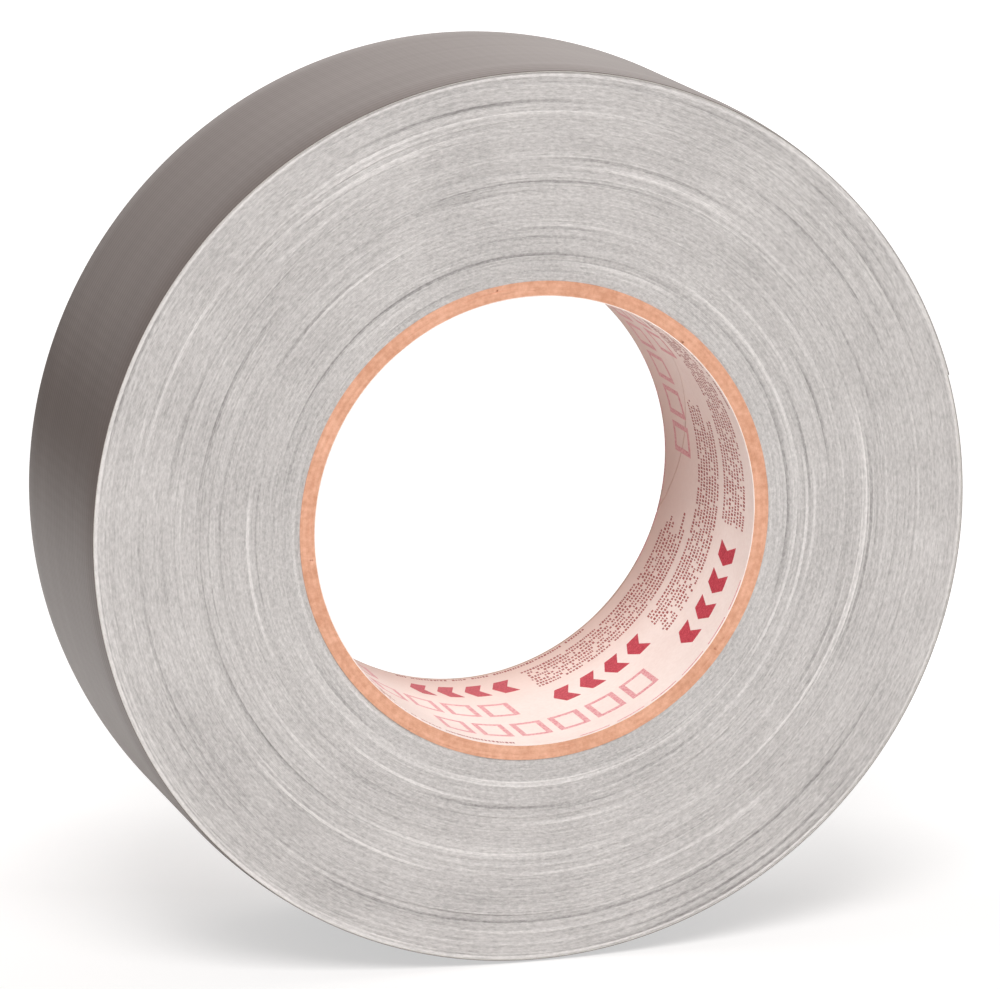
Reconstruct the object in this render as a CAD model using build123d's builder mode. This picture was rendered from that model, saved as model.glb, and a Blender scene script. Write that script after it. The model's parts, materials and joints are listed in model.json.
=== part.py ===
"""Roll of cloth-backed adhesive tape on a spiral-wound paper core.

Millimetres. The roll stands on its rim: its axis lies along Y, Z is up, and the origin is the middle of
the core's bore. Angles go counter-clockwise from +X as seen from the front, that is, looking along +Y.
"""

from build123d import *
from math import cos, floor, pi, radians, sin
import os

# Driving dimensions
TAPE_WIDTH = 48.0  # width of the strip, and so of the whole roll
ROLL_RADIUS = 76.1  # at the free end, where the spiral is widest
BORE_RADIUS = 38.1  # 3 inch core

# The core: a printed liner with plies of kraft board around it
LINER_THICKNESS = 0.15
PLY_THICKNESS = 0.49
PLY_COUNT = 5
SEAM_GAP = 0.4  # between the butted edges of one ply
PLY_PITCH = 176.0  # along the axis for one turn of a ply's helical seam
LINER_SEAM_ANGLE = 82.0  # where the liner's seam meets the front face
PLY_SEAM_ANGLE = 49.0  # the same for the innermost board ply
PLY_SEAM_STEP = 137.0  # from each board ply's seam to the next one's

# The strip: three laminated layers, from the outside in
FILM_THICKNESS = 0.09
SCRIM_THICKNESS = 0.06
ADHESIVE_THICKNESS = 0.09
TURN_THICKNESS = FILM_THICKNESS + SCRIM_THICKNESS + ADHESIVE_THICKNESS

# The free end of the strip, and the line along which it peels
END_ANGLE = 16.0
PEEL_ANGLE = 38.0
PEEL_GAP = 0.05  # between the free end and the turn it continues
LIFT_GAP = 0.03  # between the free end and the turn beneath it
SPIRAL_STEP = 5.0  # degrees between the points that a spiral is drawn through

core_radius = BORE_RADIUS + LINER_THICKNESS + PLY_COUNT * PLY_THICKNESS
half_width = TAPE_WIDTH / 2

os.makedirs("parts", exist_ok=True)


def rolled_ply(name, inner_radius, thickness, seam_angle):
    """One strip of paper rolled into a tube, with the helical gap where its two edges meet."""
    outer_radius = inner_radius + thickness
    margin = 2.0  # the cut runs past both ends of the tube
    front_angle = radians(seam_angle + 360 * margin / PLY_PITCH)
    start = Plane(
        origin=(0, -half_width - margin, 0),
        x_dir=(cos(front_angle), 0, sin(front_angle)),
        z_dir=(0, 1, 0),
    )
    with BuildPart() as ply:
        with BuildSketch(Plane.XZ):
            Circle(outer_radius)
            Circle(inner_radius, mode=Mode.SUBTRACT)
        extrude(amount=half_width, both=True)
        with BuildLine(start) as seam:
            Helix(PLY_PITCH, TAPE_WIDTH + 2 * margin, inner_radius + thickness / 2)
        across = Plane(origin=seam.line @ 0, x_dir=start.x_dir, z_dir=seam.line % 0)
        with BuildSketch(across):
            Rectangle(3 * thickness, SEAM_GAP)
        sweep(path=seam.line, is_frenet=True, mode=Mode.SUBTRACT)
    ply.part.label = name
    export_step(ply.part, f"parts/{name}.step")


def spiral_radius(angle, depth):
    """Radius of the strip's last turn at an angle, at a depth below the strip's outer face."""
    return ROLL_RADIUS - depth - TURN_THICKNESS * (angle - END_ANGLE) / 360


def spiral_points(first_angle, last_angle, depth):
    """Points of the spiral at a depth, evenly spaced from one angle to another."""
    steps = max(2, floor((last_angle - first_angle) / SPIRAL_STEP))
    for i in range(steps + 1):
        angle = first_angle + (last_angle - first_angle) * i / steps
        radius = spiral_radius(angle, depth)
        yield radius * cos(radians(angle)), radius * sin(radians(angle))


def strip_layer(name, first_angle, last_angle, top, bottom):
    """A stretch of one layer of the strip, between two depths below the strip's outer face."""
    with BuildPart() as layer:
        with BuildSketch(Plane.XZ):
            with BuildLine():
                outside = Spline(*spiral_points(first_angle, last_angle, top))
                inside = Spline(*spiral_points(first_angle, last_angle, bottom))
                Line(outside @ 0, inside @ 0)
                Line(outside @ 1, inside @ 1)
            make_face()
        extrude(amount=half_width, both=True)
    layer.part.label = name
    export_step(layer.part, f"parts/{name}.step")


# Core
rolled_ply("core_liner", BORE_RADIUS, LINER_THICKNESS, LINER_SEAM_ANGLE)
for i in range(PLY_COUNT):
    rolled_ply(
        f"core_ply_{i + 1}",
        BORE_RADIUS + LINER_THICKNESS + i * PLY_THICKNESS,
        PLY_THICKNESS,
        PLY_SEAM_ANGLE + i * PLY_SEAM_STEP,
    )

# Every turn of the strip below the last one, as one ring whose outer face is the spiral itself
with BuildPart() as wound_turns:
    with BuildSketch(Plane.XZ):
        with BuildLine():
            rim = Spline(*spiral_points(END_ANGLE, END_ANGLE + 360, TURN_THICKNESS))
            Line(rim @ 0, rim @ 1)
        make_face()
        Circle(core_radius, mode=Mode.SUBTRACT)
    extrude(amount=half_width, both=True)
wound_turns.part.label = "wound_turns"
export_step(wound_turns.part, "parts/wound_turns.step")

# The last turn, and the free end that lifts off
film_bottom = FILM_THICKNESS
scrim_bottom = film_bottom + SCRIM_THICKNESS
peel_start = PEEL_ANGLE - PEEL_GAP / ROLL_RADIUS * 180 / pi
strip_layer("outer_turn_film", PEEL_ANGLE, END_ANGLE + 360, 0, film_bottom)
strip_layer("outer_turn_scrim", PEEL_ANGLE, END_ANGLE + 360, film_bottom, scrim_bottom)
strip_layer("outer_turn_adhesive", PEEL_ANGLE, END_ANGLE + 360, scrim_bottom, TURN_THICKNESS)
strip_layer("free_end_film", END_ANGLE, peel_start, 0, film_bottom)
strip_layer("free_end_scrim", END_ANGLE, peel_start, film_bottom, scrim_bottom)
strip_layer("free_end_adhesive", END_ANGLE, peel_start, scrim_bottom, TURN_THICKNESS - LIFT_GAP)

hinge_radius = spiral_radius(PEEL_ANGLE, 0)
turns = (ROLL_RADIUS - core_radius) / TURN_THICKNESS
length = pi * (ROLL_RADIUS**2 - core_radius**2) / TURN_THICKNESS / 1000
hinge = (hinge_radius * cos(radians(PEEL_ANGLE)), hinge_radius * sin(radians(PEEL_ANGLE)))
print(f"core outside radius {core_radius:.2f}, {turns:.1f} turns, {length:.1f} m of strip")
print(f"peel line at x {hinge[0]:.3f}, z {hinge[1]:.3f}")
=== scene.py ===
"""A roll of cloth-backed adhesive tape: its looks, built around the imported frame. Metres.

The roll's axis lies along Y and it stands on its rim. Angles are in radians and go counter-clockwise from
+X as seen from the front, that is, looking along +Y. Across is the place along the axis.
"""

import json
import math

import bmesh
import bpy
import numpy as np
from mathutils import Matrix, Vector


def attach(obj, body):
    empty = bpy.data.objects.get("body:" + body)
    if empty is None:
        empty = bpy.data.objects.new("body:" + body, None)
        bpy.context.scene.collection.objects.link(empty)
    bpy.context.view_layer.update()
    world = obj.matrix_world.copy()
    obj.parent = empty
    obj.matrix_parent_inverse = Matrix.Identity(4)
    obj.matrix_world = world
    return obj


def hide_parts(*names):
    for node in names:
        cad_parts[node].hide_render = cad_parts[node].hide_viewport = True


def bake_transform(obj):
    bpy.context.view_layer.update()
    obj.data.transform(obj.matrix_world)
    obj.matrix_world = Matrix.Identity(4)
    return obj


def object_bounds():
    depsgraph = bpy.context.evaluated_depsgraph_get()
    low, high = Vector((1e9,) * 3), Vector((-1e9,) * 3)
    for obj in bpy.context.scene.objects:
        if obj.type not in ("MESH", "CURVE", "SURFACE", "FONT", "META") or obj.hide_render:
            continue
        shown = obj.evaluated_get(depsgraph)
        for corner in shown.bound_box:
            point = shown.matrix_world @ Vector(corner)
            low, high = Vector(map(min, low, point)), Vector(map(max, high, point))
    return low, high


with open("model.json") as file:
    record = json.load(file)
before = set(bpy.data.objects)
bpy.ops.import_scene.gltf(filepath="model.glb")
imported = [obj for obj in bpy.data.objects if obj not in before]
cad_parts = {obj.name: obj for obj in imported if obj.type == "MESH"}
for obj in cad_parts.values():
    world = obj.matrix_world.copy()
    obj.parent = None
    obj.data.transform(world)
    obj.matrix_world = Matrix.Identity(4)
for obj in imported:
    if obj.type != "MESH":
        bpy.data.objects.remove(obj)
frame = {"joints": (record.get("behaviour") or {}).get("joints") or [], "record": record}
cad_low, cad_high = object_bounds()

MM = 0.001
TURN = 2 * math.pi

# Sizes that the frame gives
bore_mount = next(m for m in frame["record"]["mounts"] if m["name"] == "core_bore")
peel_joint = next(j for j in frame["joints"] if j["name"] == "end_peel")
hinge_x, _, hinge_z = peel_joint["pos_m"]
BORE_RADIUS = bore_mount["dims"]["r_mm"] * MM
HALF_WIDTH = bore_mount["dims"]["length_mm"] * MM / 2
PEEL_ANGLE = math.atan2(hinge_z, hinge_x)

# The strip's three layers, and where it ends
FILM = 0.09 * MM
SCRIM = 0.06 * MM
ADHESIVE = 0.09 * MM
STRIP = FILM + SCRIM + ADHESIVE
LIFT_GAP = 0.03 * MM  # under the free end, which only lies on the turn below
END_ANGLE = math.radians(16)
ROLL_RADIUS = math.hypot(hinge_x, hinge_z) + STRIP * (PEEL_ANGLE - END_ANGLE) / TURN

# The strip's edges lie a little below its middle
EDGE_ROUNDING = 0.42 * MM
EDGE_REACH = 6.5 * MM

# The core's strips of paper
LINER = 0.15 * MM
PLY = 0.49 * MM
PLY_COUNT = 5
PLY_PITCH = 176 * MM
LINER_SEAM = math.radians(82)
FIRST_PLY_SEAM = math.radians(49)
PLY_SEAM_STEP = math.radians(137)
SEAM_GAP = 0.25 * MM
LINER_FUZZ = 0.02 * MM
PLY_FUZZ = 0.045 * MM
CORE_RADIUS = BORE_RADIUS + LINER + PLY_COUNT * PLY

# Spacing of the cloth's yarns, along the strip and across it
WARP_SPACING = 1.2 * MM
WEFT_SPACING = 2.0 * MM
YARN_COUNT = round(2 * HALF_WIDTH / WARP_SPACING)
WEAVE_SHOW = 0.55  # how strongly the cloth shows through the film


# ---------------------------------------------------------------------------------------------- meshes


SHARP_EDGE = math.radians(50)  # edges that bend more than this stay sharp
SAME_PLACE = 0.0001 * MM  # points closer than this are one


def spiral(angle, depth=0.0):
    """Radius of the strip's last turn at an angle, at a depth below its outer face."""
    return ROLL_RADIUS - depth - STRIP * (angle - END_ANGLE) / TURN


def edge_drop(across):
    """The strip's edges turn down a little, as the turns under them are pressed there."""
    inward = (HALF_WIDTH - np.abs(across)) / EDGE_REACH
    return EDGE_ROUNDING * np.clip(1 - inward, 0, 1) ** 2


def make_piece(name, points, faces, materials, face_slots=None, uv=None, values=None, merge=True):
    """A mesh object with smooth shading that breaks at sharp edges. values are numbers kept per point."""
    mesh = bpy.data.meshes.new(name)
    mesh.from_pydata(points.tolist(), [], faces.tolist())
    for material in materials:
        mesh.materials.append(material)
    if face_slots is not None:
        mesh.polygons.foreach_set("material_index", face_slots.astype(np.int32))
    corner = np.zeros(len(mesh.loops), np.int32)
    mesh.loops.foreach_get("vertex_index", corner)
    if uv is not None:
        layer = mesh.uv_layers.new(name="strip")
        layer.data.foreach_set("uv", uv[corner].astype(np.float32).ravel())
    for label, value in (values or {}).items():
        attribute = mesh.attributes.new(label, "FLOAT", "POINT")
        attribute.data.foreach_set("value", value.astype(np.float32))
    work = bmesh.new()
    work.from_mesh(mesh)
    if merge:
        bmesh.ops.remove_doubles(work, verts=work.verts, dist=SAME_PLACE)
    bmesh.ops.recalc_face_normals(work, faces=work.faces)
    work.to_mesh(mesh)
    work.free()
    mesh.shade_smooth()
    mesh.set_sharp_from_angle(angle=SHARP_EDGE)
    piece = bpy.data.objects.new(name, mesh)
    bpy.context.scene.collection.objects.link(piece)
    return piece


def in_space(angle, radius, across):
    """Points at angles, radii and places across the roll."""
    return np.stack([radius * np.cos(angle), across, radius * np.sin(angle)], -1).reshape(-1, 3)


def quads(index):
    """Faces between the rows and columns of a table of point numbers."""
    here, below = index[:-1], index[1:]
    return np.stack([here[:, :-1], here[:, 1:], below[:, 1:], below[:, :-1]], -1).reshape(-1, 4)


def slab_faces(rows, columns):
    """Faces of a closed slab whose two sides are tables of points, the second after the first."""
    top = np.arange(rows * columns).reshape(rows, columns)
    bottom = top + rows * columns
    edge = np.concatenate([top[0, :-1], top[:-1, -1], top[-1, :0:-1], top[:0:-1, 0]])
    under = np.concatenate([bottom[0, :-1], bottom[:-1, -1], bottom[-1, :0:-1], bottom[:0:-1, 0]])
    wall = np.stack([np.append(edge, edge[0]), np.append(under, under[0])])
    return np.concatenate([quads(top), quads(bottom), quads(wall)])


def slab(name, angle, across, top, bottom, material, inner_across=None):
    """A closed sheet between two radii, all given as tables with a row per angle and a column per place."""
    inner_across = across if inner_across is None else inner_across
    points = np.concatenate([in_space(angle, top, across), in_space(angle, bottom, inner_across)])
    along = angle * ROLL_RADIUS
    uv = np.stack([np.concatenate([along.ravel()] * 2), np.concatenate([across.ravel()] * 2)], -1)
    return make_piece(name, points, slab_faces(*angle.shape), [material], uv=uv)


def ring(name, angle, radius, across, materials, face_slots, values):
    """A closed ring: each row of the tables is the loop of points that bounds its section at one angle."""
    rows, columns = angle.shape
    index = np.arange(rows * columns).reshape(rows, columns)
    index = np.concatenate([index, index[:, :1]], 1)
    index = np.concatenate([index, index[:1]], 0)
    slots = np.tile(face_slots, rows)
    points = in_space(angle, radius, across)
    return make_piece(name, points, quads(index), materials, slots, values=values)


def random_arcs(rng, rows, angle, waves, falloff):
    """Smooth random curves round the roll, one per row, with a mean of zero and a spread of one."""
    order = np.arange(1, waves + 1)
    size = rng.normal(size=(rows, 1, waves)) / order**falloff
    phase = rng.uniform(0, TURN, (rows, 1, waves))
    curves = (size * np.cos(angle[None, :, None] * order + phase)).sum(-1)
    return curves / curves.std()


# ------------------------------------------------------------------------------------------- materials


class Nodes:
    """A node tree, whose nodes are added and linked by short calls."""

    def __init__(self, tree):
        self.tree = tree

    def add(self, kind, **settings):
        node = self.tree.nodes.new(kind)
        for key, value in settings.items():
            setattr(node, key, value)
        return node

    def feed(self, socket, value):
        if isinstance(value, bpy.types.NodeSocket):
            self.tree.links.new(value, socket)
        else:
            socket.default_value = value

    def math(self, operation, *values, clamp=False):
        node = self.add("ShaderNodeMath", operation=operation, use_clamp=clamp)
        for socket, value in zip(node.inputs, values):
            self.feed(socket, value)
        return node.outputs[0]

    def vector(self, operation, *values):
        node = self.add("ShaderNodeVectorMath", operation=operation)
        for socket, value in zip(node.inputs, values):
            self.feed(socket, value)
        return node.outputs["Value"] if operation == "LENGTH" else node.outputs["Vector"]

    def split(self, vector):
        node = self.add("ShaderNodeSeparateXYZ")
        self.feed(node.inputs[0], vector)
        return node.outputs

    def join(self, x, y, z):
        node = self.add("ShaderNodeCombineXYZ")
        for socket, value in zip(node.inputs, (x, y, z)):
            self.feed(socket, value)
        return node.outputs[0]

    def noise(self, vector, scale=1.0, detail=2.0, roughness=0.5):
        node = self.add("ShaderNodeTexNoise")
        self.feed(node.inputs["Vector"], vector)
        node.inputs["Scale"].default_value = scale
        node.inputs["Detail"].default_value = detail
        node.inputs["Roughness"].default_value = roughness
        return node.outputs["Fac"]

    def ramp(self, value, low, high, out_low=0.0, out_high=1.0):
        node = self.add("ShaderNodeMapRange")
        for socket, number in zip(node.inputs, (value, low, high, out_low, out_high)):
            self.feed(socket, number)
        return node.outputs[0]

    def mix(self, share, a, b):
        node = self.add("ShaderNodeMix", data_type="RGBA")
        self.feed(node.inputs["Factor"], share)
        self.feed(node.inputs[6], a)
        self.feed(node.inputs[7], b)
        return node.outputs[2]


class Look(Nodes):
    """The nodes of one material."""

    def __init__(self, name):
        self.material = bpy.data.materials.new(name)
        self.material.use_nodes = True
        super().__init__(self.material.node_tree)
        self.shader = self.tree.nodes["Principled BSDF"]

    def bump(self, height, distance):
        node = self.add("ShaderNodeBump")
        self.feed(node.inputs["Height"], height)
        node.inputs["Distance"].default_value = distance
        node.inputs["Strength"].default_value = 1.0
        self.tree.links.new(node.outputs[0], self.shader.inputs["Normal"])

    def finish(self, color, roughness, specular=0.5):
        self.feed(self.shader.inputs["Base Color"], color)
        self.feed(self.shader.inputs["Roughness"], roughness)
        self.shader.inputs["Specular IOR Level"].default_value = specular
        return self.material


def rgb(red, green, blue):
    return (red, green, blue, 1.0)


def object_place(n):
    return n.add("ShaderNodeTexCoord").outputs["Object"]


def strip_place(n):
    """Places along the strip and across it, from the UV map that slab() makes."""
    along, across, _ = n.split(n.add("ShaderNodeUVMap", uv_map="strip").outputs[0])
    return along, across


def film_material():
    """Grey polyethylene film: the cloth shows through as a faint weave, with streaks along the strip."""
    n = Look("film")
    along, across = strip_place(n)

    def streaks(stretch_along, stretch_across, layer, detail):
        x = n.math("MULTIPLY", along, stretch_along)
        y = n.math("MULTIPLY", across, stretch_across)
        return n.noise(n.join(x, y, layer), detail=detail)

    warp = n.math("SINE", n.math("MULTIPLY", across, TURN / WARP_SPACING))
    weft = n.math("SINE", n.math("MULTIPLY", along, TURN / WEFT_SPACING))
    long_streak = streaks(9.0, 420.0, 0.0, 3.0)
    broad = streaks(14.0, 60.0, 3.0, 2.0)
    grain = n.noise(n.join(along, across, 0.0), scale=3800.0, detail=2.0)
    weave = n.math("ADD", n.math("MULTIPLY", warp, 0.6), n.math("MULTIPLY", weft, 0.4))
    height = n.math("ADD", n.math("MULTIPLY", weave, WEAVE_SHOW), n.math("MULTIPLY", long_streak, 0.45))
    height = n.math("ADD", height, n.math("MULTIPLY", grain, 0.25))
    tone = n.math("ADD", n.math("MULTIPLY", long_streak, 0.4), n.math("MULTIPLY", broad, 0.6))
    color = n.mix(n.ramp(tone, 0.3, 0.7), rgb(0.120, 0.095, 0.087), rgb(0.144, 0.115, 0.105))
    n.bump(height, 0.02 * MM)
    return n.finish(color, n.ramp(tone, 0.3, 0.7, 0.38, 0.34))


def turns_material():
    """The cut edges of the wound turns: cloth and adhesive with the film between, in fine arcs."""
    n = Look("wound_edges")
    place = object_place(n)
    x, _, z = n.split(place)
    flat = n.join(x, 0.0, z)
    circle_x, _, circle_z = n.split(n.vector("NORMALIZE", flat))
    turn = n.math("MULTIPLY", n.vector("LENGTH", flat), 1 / STRIP)

    def arcs(per_radian, per_turn, detail=2.0):
        """Noise drawn out round the roll. Its grain is finer where the two numbers are larger."""
        x = n.math("MULTIPLY", circle_x, per_radian)
        y = n.math("MULTIPLY", turn, per_turn)
        z = n.math("MULTIPLY", circle_z, per_radian)
        return n.noise(n.join(x, y, z), detail=detail)

    # shade is each turn's tone: random, with painted light and shade where turns stand out or sink, and a
    # painted highlight on the outermost turns.
    shade = n.add("ShaderNodeAttribute", attribute_name="shade").outputs["Fac"]
    fine = arcs(9.0, 1.7)
    ticks = arcs(62.0, 0.62, 3.0)
    fibres = arcs(150.0, 1.6, 3.0)
    soft = n.noise(place, scale=60.0)
    tone = n.math("ADD", n.math("MULTIPLY", fine, 0.25), n.math("MULTIPLY", fibres, 0.3))
    tone = n.math("ADD", tone, n.math("MULTIPLY", ticks, 0.6))
    tone = n.math("ADD", tone, n.math("MULTIPLY", soft, 0.25))
    tone = n.math("ADD", n.math("MULTIPLY", n.math("SUBTRACT", tone, 0.7), 1.3), shade)
    color = n.mix(n.ramp(tone, 0.0, 1.0), rgb(0.24, 0.227, 0.222), rgb(0.74, 0.71, 0.695))
    relief = n.math("ADD", n.math("MULTIPLY", fibres, 0.6), n.math("MULTIPLY", fine, 0.6))
    n.bump(n.math("ADD", relief, ticks), 0.08 * MM)
    return n.finish(color, 0.7, specular=0.25)


def cloth_material():
    """White yarns of the scrim."""
    n = Look("scrim")
    twist = n.noise(object_place(n), scale=5200.0)
    n.bump(twist, 0.02 * MM)
    return n.finish(n.mix(twist, rgb(0.44, 0.42, 0.40), rgb(0.60, 0.58, 0.55)), 0.8, specular=0.2)


def adhesive_material():
    """Pale grey, slightly tacky rubber adhesive, with the yarns of the scrim standing out under it."""
    n = Look("adhesive")
    along, across = strip_place(n)
    mottle = n.noise(n.join(along, across, 0.0), scale=900.0, detail=3.0)
    sway = n.math("MULTIPLY", n.noise(n.join(along, across, 7.0), scale=160.0), 0.9 * MM)

    def yarns(place, spacing):
        wave = n.math("SINE", n.math("MULTIPLY", n.math("ADD", place, sway), TURN / spacing))
        return n.ramp(wave, 0.1, 1.0)

    crossing = n.math("MULTIPLY", yarns(along, WEFT_SPACING), 0.8)
    grid = n.math("MAXIMUM", yarns(across, WARP_SPACING), crossing)
    n.bump(n.math("ADD", n.math("MULTIPLY", mottle, 0.4), grid), 0.05 * MM)
    tone = n.math("ADD", n.math("MULTIPLY", mottle, 0.5), n.math("MULTIPLY", grid, 0.5), clamp=True)
    color = n.mix(tone, rgb(0.44, 0.42, 0.39), rgb(0.66, 0.64, 0.60))
    return n.finish(color, n.ramp(mottle, 0.3, 0.7, 0.32, 0.45))


def kraft_material(name, lift):
    """Kraft board: orange-brown pulp with paler and darker fibres. lift lightens one ply."""
    n = Look(name)
    place = object_place(n)
    pulp = n.noise(place, scale=900.0, detail=4.0, roughness=0.65)
    cloud = n.noise(place, scale=90.0, detail=2.0)
    tone = n.math("ADD", n.math("MULTIPLY", pulp, 0.7), n.math("MULTIPLY", cloud, 0.3 + lift))
    color = n.mix(n.ramp(tone, 0.3, 0.75), rgb(0.55, 0.26, 0.155), rgb(0.81, 0.46, 0.325))
    n.bump(pulp, 0.06 * MM)
    return n.finish(color, 0.85, specular=0.2)


def liner_material():
    """White mottled paper. It is painted darker and pinker towards the back of the bore, as shade deep in
    the bore, and turns dark brown in a ragged band at that end.
    """
    n = Look("liner_paper")
    place = object_place(n)
    _, across, _ = n.split(place)
    pulp = n.noise(place, scale=1400.0, detail=3.0)
    cloud = n.noise(place, scale=70.0, detail=3.0)
    tone = n.math("ADD", n.math("MULTIPLY", pulp, 0.4), n.math("MULTIPLY", cloud, 0.6))
    paper_unshaded = n.mix(n.ramp(tone, 0.3, 0.7), rgb(0.84, 0.71, 0.66), rgb(0.93, 0.83, 0.78))
    # Painted shade: the paper darkens and turns pinker towards the back of the bore.
    paper = n.mix(n.ramp(across, 0.0, HALF_WIDTH, 0.0, 0.8), paper_unshaded, rgb(0.75, 0.53, 0.46))
    # A ragged dark brown band along the liner's back end.
    uneven = n.math("ADD", across, n.math("MULTIPLY", cloud, 0.6 * MM))
    back_end_band = n.ramp(uneven, HALF_WIDTH - 0.5 * MM, HALF_WIDTH)
    color = n.mix(back_end_band, paper, rgb(0.50, 0.33, 0.25))
    n.bump(n.math("ADD", pulp, n.math("MULTIPLY", cloud, 2.0)), 0.03 * MM)
    return n.finish(color, 0.55, specular=0.35)


def ink_material(name, dense, thin):
    """Print ink, denser and thinner in patches as it soaked into the paper."""
    n = Look(name)
    soak = n.noise(object_place(n), scale=2600.0, detail=3.0)
    n.bump(soak, 0.01 * MM)
    return n.finish(n.mix(n.ramp(soak, 0.35, 0.7), dense, thin), 0.5, specular=0.35)


FILM_LOOK = film_material()
TURNS_LOOK = turns_material()
CLOTH_LOOK = cloth_material()
ADHESIVE_LOOK = adhesive_material()
LINER_LOOK = liner_material()
RED_INK = ink_material("ink_red", rgb(0.42, 0.012, 0.035), rgb(0.62, 0.06, 0.09))
PINK_INK = ink_material("ink_pink", rgb(0.66, 0.22, 0.25), rgb(0.82, 0.50, 0.50))
DARK_INK = ink_material("ink_dark", rgb(0.27, 0.035, 0.035), rgb(0.46, 0.13, 0.11))


# --------------------------------------------------------------------------------------- wound turns


FACE_DEPTH = 0.12 * MM  # mean depth of the wound face below the core's ends
BAND_COUNT = 14  # places where a whole band of turns has shifted sideways
BAND_STEP = 0.042 * MM
WANDER_RISE = 0.012 * MM  # how far each turn wanders sideways by itself
STREAK_RISE = 0.03 * MM  # how far a loose pair of turns stands out
GROOVE_DEPTH = 0.014 * MM  # between one turn and the next
MID_TONE = 0.53
WALL_PLACES = (0.15, 0.35, 0.6, 1.0)  # across the film-covered rim, as shares of the edges' reach
WOUND_SECTIONS = 321


def face_relief(rng, count, line):
    """How far each turn stands out along the roll's axis, and how light it is, at each angle of line."""
    wander = random_arcs(rng, count + 1, line, 14, 0.9)
    loose = np.repeat(random_arcs(rng, count // 2 + 1, line, 6, 0.5), 2, axis=0)[:count + 1]
    streak = np.sign(loose) * np.clip(np.abs(loose) - 1.2, 0, 1.4)
    shift = np.zeros((count + 1, len(line)))
    shift[rng.choice(count - 6, BAND_COUNT, replace=False) + 3] = random_arcs(rng, BAND_COUNT, line, 5, 0.7)
    band = np.cumsum(shift, 0)
    band = BAND_STEP * (band - band.mean(0))
    rise = band + WANDER_RISE * wander + STREAK_RISE * streak
    # Painted light and shade: turns that stand out are painted lighter and sunken turns darker, through
    # 0.22 * streak.
    tone = MID_TONE + 0.04 * wander + 0.22 * streak + 0.05 * shift
    tone[-2:] += 0.3  # painted highlight: the outermost turns are lighter, as where they catch the light
    return rise, tone


def wound_face(rng, line):
    """Radius, height and tone of the wound face, in columns: a groove and a crest for each turn."""
    lowest_rim = ROLL_RADIUS - 2 * STRIP - EDGE_ROUNDING
    count = int((lowest_rim - CORE_RADIUS) / STRIP)
    pitch = (lowest_rim - CORE_RADIUS) / (count + 0.5)
    rise, tone = face_relief(rng, count, line)
    columns = []
    for k in range(count + 1):
        inner = CORE_RADIUS + k * pitch
        columns.append((np.full_like(line, inner), rise[k] - GROOVE_DEPTH, tone[k] - 0.07))
        if k < count:
            columns.append((np.full_like(line, inner + pitch / 2), rise[k], tone[k] + 0.05))
    columns.append((spiral(line, STRIP) - EDGE_ROUNDING, rise[count], tone[count]))
    return [np.stack(table, 1) for table in zip(*columns)]


def wound_half(name, side, seed):
    """Half of the wound turns, its face in relief, and the rim's film. side is -1 for the front."""
    line = np.linspace(END_ANGLE, END_ANGLE + TURN, WOUND_SECTIONS)
    face_radius, face_height, face_tone = wound_face(np.random.default_rng(seed), line)
    face_across = HALF_WIDTH - np.clip(FACE_DEPTH - face_height, 0, 2 * FACE_DEPTH)
    wall_line = np.append(HALF_WIDTH - EDGE_REACH * np.array(WALL_PLACES), 0)
    wall_radius = spiral(line, STRIP)[:, None] - edge_drop(wall_line)
    wall_across = np.tile(wall_line, (len(line), 1))
    bore_radius = np.full((len(line), 1), CORE_RADIUS)
    radius = np.concatenate([bore_radius, face_radius, wall_radius], 1)
    across = np.concatenate([0 * bore_radius, side * face_across, side * wall_across], 1)
    wall_tone = np.full_like(wall_radius, 0.5)
    shade = np.concatenate([wall_tone[:, :1], face_tone, wall_tone], 1)
    slots = np.zeros(radius.shape[1], int)
    slots[-len(wall_line) - 1:-1] = 1
    angle = np.repeat(line[:, None], radius.shape[1], 1)
    piece = ring(name, angle, radius, across, [TURNS_LOOK, FILM_LOOK], slots, {"shade": shade.ravel()})
    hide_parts("wound_turns")
    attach(piece, "roll")


wound_half("wound_turns_front", -1, 11)
wound_half("wound_turns_back", 1, 12)


# ----------------------------------------------------------------------------- last turn and free end


SECTIONS_PER_TURN = 720
FILM_PLACES = 41  # across the strip
POINTS_PER_YARN = 4

# How far the torn layers stick out past the strip's end, in mm. Below zero they fall short of it.
FILM_TEAR = (-0.14, 0.14)
ADHESIVE_TEAR = (-0.50, -0.25)
CLOTH_TEAR = -0.30  # between two yarns
YARN_TEAR = 0.9  # either way, before it is cubed


def even_places(trim):
    """Places across the strip, closer together near its edges. trim is cut from each edge."""
    return (HALF_WIDTH - trim) * np.sin(np.linspace(-1, 1, FILM_PLACES) * math.pi / 2)


def yarn_places(trim):
    """Places across the strip, a few to each yarn that runs along it."""
    return np.linspace(trim - HALF_WIDTH, HALF_WIDTH - trim, POINTS_PER_YARN * YARN_COUNT)


def torn_film(rng, places):
    return rng.uniform(*FILM_TEAR, len(places)) * MM


def torn_adhesive(rng, places):
    return rng.uniform(*ADHESIVE_TEAR, len(places)) * MM


def loose_yarns(rng, places):
    """Some yarns stick out past the tear, few of them far. The cloth between two yarns stays behind it."""
    reach = np.full((YARN_COUNT, POINTS_PER_YARN), CLOTH_TEAR * MM)
    reach[:, 1:-1] = rng.uniform(-YARN_TEAR, YARN_TEAR, (YARN_COUNT, 1)) ** 3 * MM
    return reach.ravel()


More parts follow.
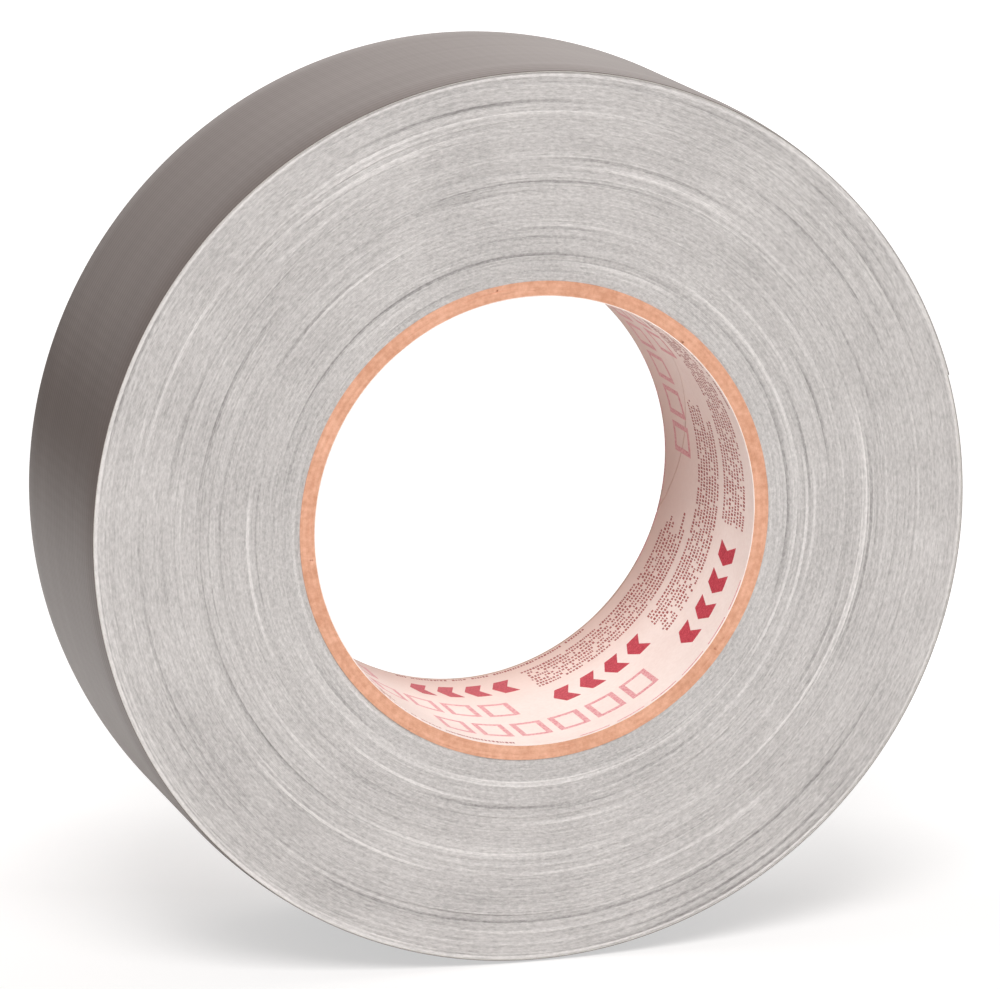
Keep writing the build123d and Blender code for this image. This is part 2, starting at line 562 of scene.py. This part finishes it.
def strip_layer(name, node, slot_name, first, last, depths, material, places, reach=None):
    """One layer of the strip between two depths. reach is how far it sticks out past the first angle."""
    rows = max(3, int((last - first) / TURN * SECTIONS_PER_TURN))
    angle, across = np.meshgrid(np.linspace(first, last, rows), places, indexing="ij")
    if reach is not None:
        angle[0] -= reach / ROLL_RADIUS
    top, bottom = (spiral(angle, depth) - edge_drop(across) for depth in depths)
    piece = slab(name, angle, across, top, bottom, material)
    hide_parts(node)
    return piece


# Name, top and bottom depth, look, places across and the shape of the torn end
LAYERS = (
    ("film", 0.0, FILM, FILM_LOOK, even_places(0.0), torn_film),
    ("scrim", FILM, FILM + SCRIM, CLOTH_LOOK, yarn_places(0.02 * MM), loose_yarns),
    ("adhesive", FILM + SCRIM, STRIP, ADHESIVE_LOOK, even_places(0.03 * MM), torn_adhesive),
)


def last_turn():
    """The roll's last turn, from the peel line round to where the turns under it begin."""
    for layer, top, bottom, look, places, _ in LAYERS:
        names = (f"last_turn_{layer}", f"outer_turn_{layer}", f"tape_{layer}")
        piece = strip_layer(*names, PEEL_ANGLE, END_ANGLE + TURN, (top, bottom), look, places)
        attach(piece, "roll")


def free_end():
    """The free end, its edge torn. It lies on the roll, from its torn end round to the peel line."""
    rng = np.random.default_rng(3)
    for layer, top, bottom, look, places, torn in LAYERS:
        names = (f"free_end_{layer}_strip", f"free_end_{layer}", f"tape_{layer}")
        lifted = bottom - LIFT_GAP if layer == "adhesive" else bottom
        reach = torn(rng, places)
        piece = strip_layer(*names, END_ANGLE, PEEL_ANGLE, (top, lifted), look, places, reach)
        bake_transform(piece)


last_turn()
free_end()


# -------------------------------------------------------------------------------------------- core


PAPER_PLACES = 49  # across a strip of paper
PAPER_SECTIONS = 241  # round it


def rolled_paper(name, inner, thickness, seam, material, seed, fuzz):
    """A strip of paper wound into a tube, its edges butted along a helix, its cut ends a little rough."""
    across_line = np.linspace(-HALF_WIDTH, HALF_WIDTH, PAPER_PLACES)
    gap = SEAM_GAP / inner / math.sin(math.atan(PLY_PITCH / (TURN * inner)))
    line = np.linspace(gap / 2, TURN - gap / 2, PAPER_SECTIONS)
    twist = seam - TURN * (across_line + HALF_WIDTH) / PLY_PITCH
    angle = line[:, None] + twist[None, :]
    rough = fuzz * np.abs(random_arcs(np.random.default_rng(seed), 4, line, 60, 0.35))
    rough = np.clip(rough, 0, 4 * fuzz)
    outer_across = np.repeat(across_line[None, :], len(line), 0)
    inner_across = outer_across.copy()
    outer_across[:, 0] += rough[0]
    inner_across[:, 0] += rough[1]
    outer_across[:, -1] -= rough[2]
    inner_across[:, -1] -= rough[3]
    outer = np.full_like(angle, inner + thickness)
    return slab(name, angle, outer_across, outer, np.full_like(angle, inner), material, inner_across)


def core():
    """The printed liner and the board plies round it."""
    paper = rolled_paper("liner", BORE_RADIUS, LINER, LINER_SEAM, LINER_LOOK, 21, LINER_FUZZ)
    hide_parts("core_liner")
    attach(paper, "roll")
    for i in range(PLY_COUNT):
        inner = BORE_RADIUS + LINER + i * PLY
        seam = FIRST_PLY_SEAM + i * PLY_SEAM_STEP
        look = kraft_material(f"kraft_{i + 1}", 0.1 * (i % 2))
        board = rolled_paper(f"kraft_ply_{i + 1}", inner, PLY, seam, look, 31 + i, PLY_FUZZ)
        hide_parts(f"core_ply_{i + 1}")
        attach(board, "roll")


core()


# ------------------------------------------------------------------------------------- printed marks


PRINT_LIFT = 0.02 * MM  # how far the ink stands out of the paper
PRINT_SINK = 0.05 * MM
PRINT_MARGIN = 0.3 * MM  # at each end of the core
THINNEST_MARK = 0.2 * MM
LONGEST_FACE = 1.5 * MM  # of a mark, which bends with the bore

# The print runs round the bore in rows, each moved on from the last. Every row has two repeats.
ROW_PITCH = 13.8 * MM
ROW_SHIFT = 22.0 * MM
REPEAT = TURN * BORE_RADIUS / 2
FIRST_ARROW = 9.6 * MM

ARROW_COUNT = 4
ARROW_PITCH = 5.0 * MM
ARROW_LENGTH = 2.7 * MM
ARROW_HALF = 3.7 * MM
ARROW_LEAN = 0.35

BOX_COUNT = 6
BOX_PITCH = 6.8 * MM
BOX_LENGTH = 5.4 * MM
BOX_HALF = 4.2 * MM
BOX_LINE = 0.95 * MM
FIRST_BOX = 25 * MM  # after the first arrowhead

FINE_ROWS = 8
FINE_PITCH = 1.45 * MM
FINE_END = 4.5 * MM  # before the first arrowhead
FINE_GAP = 0.8 * MM
GAP_CHANCE = 0.12
INKED = 0.62  # share of each step

# Random ranges for the fine dashes, in mm
FINE_START = (40, 46)  # before the first arrowhead
FINE_STEP = (0.35, 0.75)  # from one dash to the next
FINE_SIZE = (0.6, 0.95)  # of a dash, across the bore


class Print:
    """Marks gathered into one mesh. Their places are distances along the bore, clockwise, and across it."""

    def __init__(self):
        self.points = []
        self.faces = []
        self.total = 0

    def mark(self, along, across):
        """A solid mark given by tables of its places along and across the bore."""
        angle = -along / BORE_RADIUS
        top = in_space(angle, np.full_like(angle, BORE_RADIUS - PRINT_LIFT), across)
        bottom = in_space(angle, np.full_like(angle, BORE_RADIUS + PRINT_SINK), across)
        self.points += [top, bottom]
        self.faces.append(slab_faces(*angle.shape) + self.total)
        self.total += 2 * angle.size

    def bar(self, start, end, low, high):
        """A solid bar, cut off at the core's ends."""
        low = max(low, PRINT_MARGIN - HALF_WIDTH)
        high = min(high, HALF_WIDTH - PRINT_MARGIN)
        if high - low < THINNEST_MARK:
            return
        steps = int((end - start) / LONGEST_FACE) + 2
        along, across = np.meshgrid(np.linspace(start, end, steps), (low, high), indexing="ij")
        self.mark(along, across)

    def frame(self, start, end, low, high, line):
        """The outline of a box."""
        self.bar(start, end, low, low + line)
        self.bar(start, end, high - line, high)
        self.bar(start, start + line, low + line, high - line)
        self.bar(end - line, end, low + line, high - line)

    def arrowhead(self, start, middle):
        """A bar bent at its middle, its halves falling behind. Left out where the core's end cuts it."""
        if abs(middle) + ARROW_HALF > HALF_WIDTH:
            return
        places = (middle - ARROW_HALF, middle, middle + ARROW_HALF)
        along, across = np.meshgrid(np.linspace(start, start + ARROW_LENGTH, 4), places, indexing="ij")
        self.mark(along - ARROW_LEAN * np.abs(across - middle), across)

    def piece(self, name, material):
        points = np.concatenate(self.points)
        made = make_piece(name, points, np.concatenate(self.faces), [material], merge=False)
        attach(made, "roll")


def print_row(red, pink, dark, rng, start, middle):
    """One repeat of a row: fine dashes, a run of bold arrowheads and a run of outlined boxes."""
    for k in range(ARROW_COUNT):
        red.arrowhead(start + k * ARROW_PITCH, middle)
    for k in range(BOX_COUNT):
        at = start + FIRST_BOX + k * BOX_PITCH
        pink.frame(at, at + BOX_LENGTH, middle - BOX_HALF, middle + BOX_HALF, BOX_LINE)
    for k in range(FINE_ROWS):
        place = middle + (k - (FINE_ROWS - 1) / 2) * FINE_PITCH
        at = start - rng.uniform(*FINE_START) * MM
        while at < start - FINE_END:
            step = rng.uniform(*FINE_STEP) * MM
            size = rng.uniform(*FINE_SIZE) * MM
            dark.bar(at, at + step * INKED, place - size / 2, place + size / 2)
            at += step + (FINE_GAP if rng.random() < GAP_CHANCE else 0)


def printed_marks():
    """All of the print on the liner: three inks, each one piece."""
    red = Print()
    pink = Print()
    dark = Print()
    rng = np.random.default_rng(5)
    for row in range(-1, 4):
        for repeat in range(2):
            start = FIRST_ARROW + row * ROW_SHIFT + repeat * REPEAT
            print_row(red, pink, dark, rng, start, (row - 1) * ROW_PITCH)
    red.piece("liner_print_red", RED_INK)
    pink.piece("liner_print_pink", PINK_INK)
    dark.piece("liner_print_dark", DARK_INK)


printed_marks()


# ------------------------------------------------------------------------------ floor, lights, camera


FLOOR_HALF = 6.0
FLOOR_GLOW = 0.56  # near the roll
BACK_GLOW = 0.74  # just behind it, painted light that lightens the roll's shadow there
FAR_GLOW = 1.0

# Distances over which the floor changes
CARD_EDGE = (0.3, 0.8)  # from a white card to a darker room, in the light it throws on the roll
BACK_EDGE = (0.02, 0.08)  # from FLOOR_GLOW to BACK_GLOW, behind the roll
FAR_EDGE = (0.25, 0.9)  # from FLOOR_GLOW to FAR_GLOW, all round

LAMP_DISTANCE = 1.6
LAMP_SIZE = 0.8
LAMP_POWER = 27
GLOW_STRENGTH = 1.27
GLOW_NARROWNESS = 3.6
ROOM_LIGHT = 0.15

CAMERA_PLACE = (-0.2978, -0.9978, 0.226)
CAMERA_TILT = math.radians(-12.26)
CAMERA_TURN = math.radians(-16.66)
LENS = 226


def floor():
    """A pale floor, glowing to white further off. It lights the roll as a white card in a darker room."""
    mesh = bpy.data.meshes.new("floor")
    corners = [(x * FLOOR_HALF, y * FLOOR_HALF, cad_low.z) for x, y in ((-1, -1), (1, -1), (1, 1), (-1, 1))]
    mesh.from_pydata(corners, [], [(0, 1, 2, 3)])
    n = Look("floor")
    seen = n.add("ShaderNodeLightPath").outputs["Is Camera Ray"]
    place = object_place(n)
    x, y, _ = n.split(place)
    distance = n.vector("LENGTH", place)
    card = n.mix(n.ramp(distance, *CARD_EDGE), rgb(0.95, 0.94, 0.93), rgb(0.25, 0.24, 0.23))
    # Painted light: the floor glows more just behind the roll, which lightens the roll's shadow there.
    back = n.math("ADD", y, n.math("MULTIPLY", x, 0.35))
    behind = n.ramp(back, *BACK_EDGE, FLOOR_GLOW, BACK_GLOW)
    glow = n.math("MAXIMUM", behind, n.ramp(distance, *FAR_EDGE, FLOOR_GLOW, FAR_GLOW))
    n.feed(n.shader.inputs["Emission Color"], rgb(1.0, 1.0, 1.0))
    n.feed(n.shader.inputs["Emission Strength"], n.math("MULTIPLY", seen, glow))
    mesh.materials.append(n.finish(n.mix(seen, card, rgb(0.45, 0.44, 0.435)), 0.9, specular=0.0))
    plane = bpy.data.objects.new("floor", mesh)
    bpy.context.scene.collection.objects.link(plane)


def direction(azimuth, height):
    """A unit vector from the roll, by degrees. azimuth is 0 in front and 90 on the +X side."""
    azimuth = math.radians(azimuth)
    height = math.radians(height)
    level = math.cos(height)
    return Vector((math.sin(azimuth) * level, -math.cos(azimuth) * level, math.sin(height)))


def front_box():
    """A square light in front of the roll and above it, aimed at it."""
    place = direction(-17, 48) * LAMP_DISTANCE
    light = bpy.data.lights.new("front_box", "AREA")
    light.shape = "SQUARE"
    light.size = LAMP_SIZE
    light.energy = LAMP_POWER
    lamp = bpy.data.objects.new("front_box", light)
    lamp.location = place
    lamp.rotation_euler = place.to_track_quat("Z", "Y").to_euler()
    bpy.context.scene.collection.objects.link(lamp)


def surroundings():
    """A broad glow low behind the roll, to the right, fading to a dim room. The camera sees plain white."""
    world = bpy.data.worlds.new("studio")
    bpy.context.scene.world = world
    world.use_nodes = True
    n = Nodes(world.node_tree)
    facing = n.add("ShaderNodeVectorMath", operation="DOT_PRODUCT")
    n.feed(facing.inputs[0], n.add("ShaderNodeTexCoord").outputs["Generated"])
    facing.inputs[1].default_value = direction(155, 16)
    away = n.math("SUBTRACT", facing.outputs["Value"], 1.0)
    glow = n.math("EXPONENT", n.math("MULTIPLY", away, GLOW_NARROWNESS))
    light = n.math("ADD", n.math("MULTIPLY", glow, GLOW_STRENGTH), ROOM_LIGHT)
    seen = n.add("ShaderNodeLightPath").outputs["Is Camera Ray"]
    back = n.tree.nodes["Background"]
    n.feed(back.inputs["Color"], n.mix(seen, rgb(1.0, 0.94, 0.91), rgb(1.0, 1.0, 1.0)))
    n.feed(back.inputs["Strength"], n.ramp(seen, 0.0, 1.0, light, 1.0))


def camera():
    lens = bpy.data.cameras.new("camera")
    lens.sensor_width = 36
    lens.lens = LENS
    lens.clip_end = 20
    eye = bpy.data.objects.new("camera", lens)
    eye.location = CAMERA_PLACE
    eye.rotation_euler = (math.radians(90) + CAMERA_TILT, 0, CAMERA_TURN)
    bpy.context.scene.collection.objects.link(eye)
    bpy.context.scene.camera = eye


floor()
front_box()
surroundings()
camera()
bpy.context.scene.view_settings.view_transform = "Standard"
